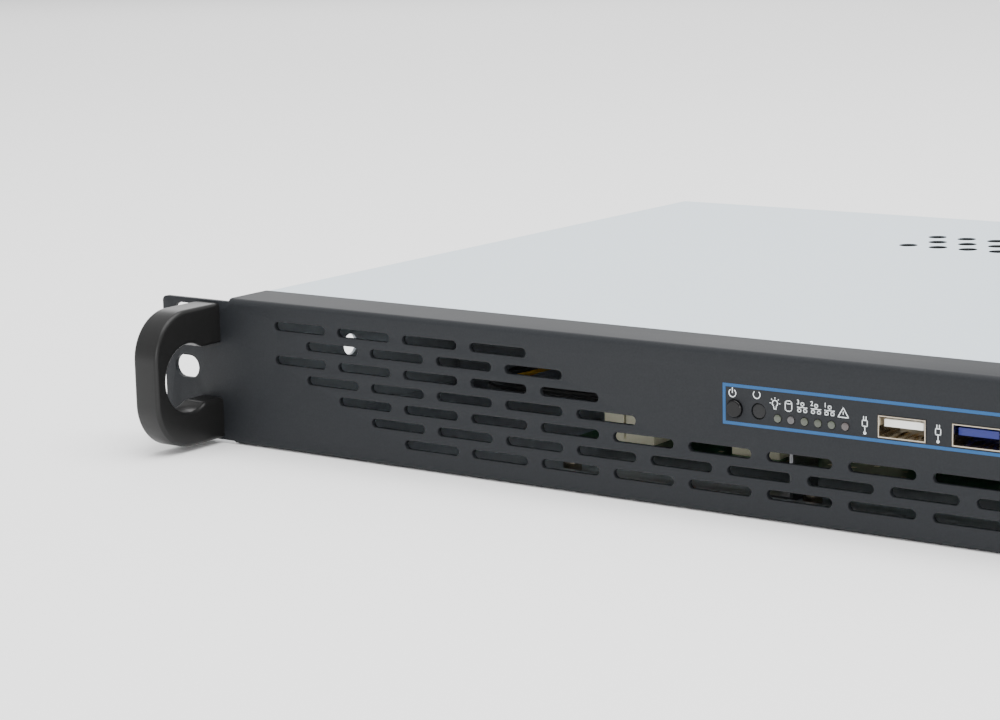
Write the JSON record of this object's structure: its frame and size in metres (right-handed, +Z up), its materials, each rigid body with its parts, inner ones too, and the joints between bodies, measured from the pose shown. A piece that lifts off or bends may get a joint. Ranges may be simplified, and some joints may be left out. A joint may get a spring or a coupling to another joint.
{
  "type": "rack-mount firewall appliance",
  "caption": "One-unit rack-mount network appliance: vented folded front panel with ears and pull handles, sliding top cover and fitted chassis.",
  "frame": {"origin": "middle of the chassis underside, on the surface the unit stands on", "axes": "+X to the right seen from the front, along the 482.6 mm width; +Y from the front panel to the rear panel; +Z up"},
  "size_m": [0.4826, 0.2839, 0.0436],
  "materials": {
    "black_coat": "fine textured powder coat, matte",
    "grey_coat": "light grey satin powder coat",
    "zinc": "bright zinc-plated sheet, satin",
    "handle_black": "black satin moulding",
    "screw_zinc": "zinc-plated fastener",
    "nickel": "nickel-plated shell",
    "black_gloss": "glossy black moulding",
    "black_plastic": "matte black moulding",
    "lens": "smoked clear lens",
    "white_plastic": "white moulding",
    "blue_plastic": "blue moulding",
    "cream_plastic": "cream connector moulding",
    "board_green": "green solder mask",
    "aluminium": "extruded, natural",
    "wire": "coloured insulated wire",
    "sleeve": "black braided sleeve"
  },
  "bodies": {
    "chassis": {"front_panel": "black_coat", "flange_screws": "screw_zinc", "handle_left": "handle_black", "handle_right": "handle_black", "handle_screws": "screw_zinc", "front_switches": "black_plastic", "light_pipes": "lens", "front_leds": "white_plastic", "usb2_shell": "nickel", "usb2_tongue": "white_plastic", "usb3_shell": "nickel", "usb3_tongue": "blue_plastic", "front_io_board": "board_green", "front_io_bracket": "zinc", "front_io_screws": "screw_zinc", "chassis_tray": "grey_coat", "board_standoffs": "nickel", "rear_panel": "grey_coat", "blank_plate": "grey_coat", "io_shield": "nickel", "console_jack": "nickel", "lan_jack_1": "nickel", "lan_jack_2": "nickel", "lan_jack_3": "nickel", "usb_stack": "nickel", "usb_stack_tongues": "blue_plastic", "main_board": "board_green", "board_screws": "screw_zinc", "cpu_heatsink": "aluminium", "cpu_fan_frame": "black_plastic", "chipset_heatsink": "aluminium", "memory_sockets": "black_plastic", "memory_modules": "board_green", "board_connectors": "cream_plastic", "power_plug": "cream_plastic", "board_chips": "black_plastic", "board_capacitors": "aluminium", "coin_cell": "nickel", "psu_case": "zinc", "psu_lid": "zinc", "psu_board": "board_green", "psu_fan_frame": "black_plastic", "power_inlet": "black_plastic", "inlet_pins": "nickel", "rocker_bezel": "black_plastic", "fan_frame_left": "black_plastic", "fan_frame_right": "black_plastic", "storage_drive": "aluminium", "drive_bracket": "zinc", "power_cable": "sleeve", "front_wires": "wire"},
    "cover": {"top_cover": "grey_coat", "cover_thumbscrews": "screw_zinc"},
    "power_button": {"power_button": "black_gloss"},
    "reset_button": {"reset_button": "black_gloss"},
    "psu_rocker": {"psu_rocker": "black_gloss"},
    "cpu_fan_rotor": {"cpu_fan_rotor": "black_plastic"},
    "psu_fan_rotor": {"psu_fan_rotor": "black_plastic"},
    "fan_rotor_left": {"fan_rotor_left": "black_plastic"},
    "fan_rotor_right": {"fan_rotor_right": "black_plastic"}
  },
  "joints": [
    {"name": "cover_slide", "type": "slide", "parent": "chassis", "child": "cover", "axis": [0, 1, 0], "range_m": [0, 0.235]},
    {"name": "power_button_press", "type": "slide", "parent": "chassis", "child": "power_button", "axis": [0, 1, 0], "range_m": [0, 0.001], "stiffness_N_per_m": 300},
    {"name": "reset_button_press", "type": "slide", "parent": "chassis", "child": "reset_button", "axis": [0, 1, 0], "range_m": [0, 0.001], "stiffness_N_per_m": 300},
    {"name": "psu_rocker_tilt", "type": "hinge", "parent": "chassis", "child": "psu_rocker", "pos_m": [-0.186, 0.1208, 0.033], "axis": [0, 0, 1], "range_deg": [0, 16]},
    {"name": "cpu_fan_spin", "type": "hinge", "parent": "chassis", "child": "cpu_fan_rotor", "pos_m": [0.001, -0.009, 0.031], "axis": [0, 0, 1], "continuous": true},
    {"name": "psu_fan_spin", "type": "hinge", "parent": "chassis", "child": "psu_fan_rotor", "pos_m": [-0.1438, 0.11, 0.0213], "axis": [0, 1, 0], "continuous": true},
    {"name": "left_fan_spin", "type": "hinge", "parent": "chassis", "child": "fan_rotor_left", "pos_m": [0.14, 0.11, 0.0214], "axis": [0, 1, 0], "continuous": true},
    {"name": "right_fan_spin", "type": "hinge", "parent": "chassis", "child": "fan_rotor_right", "pos_m": [0.185, 0.11, 0.0214], "axis": [0, 1, 0], "continuous": true}
  ]
}
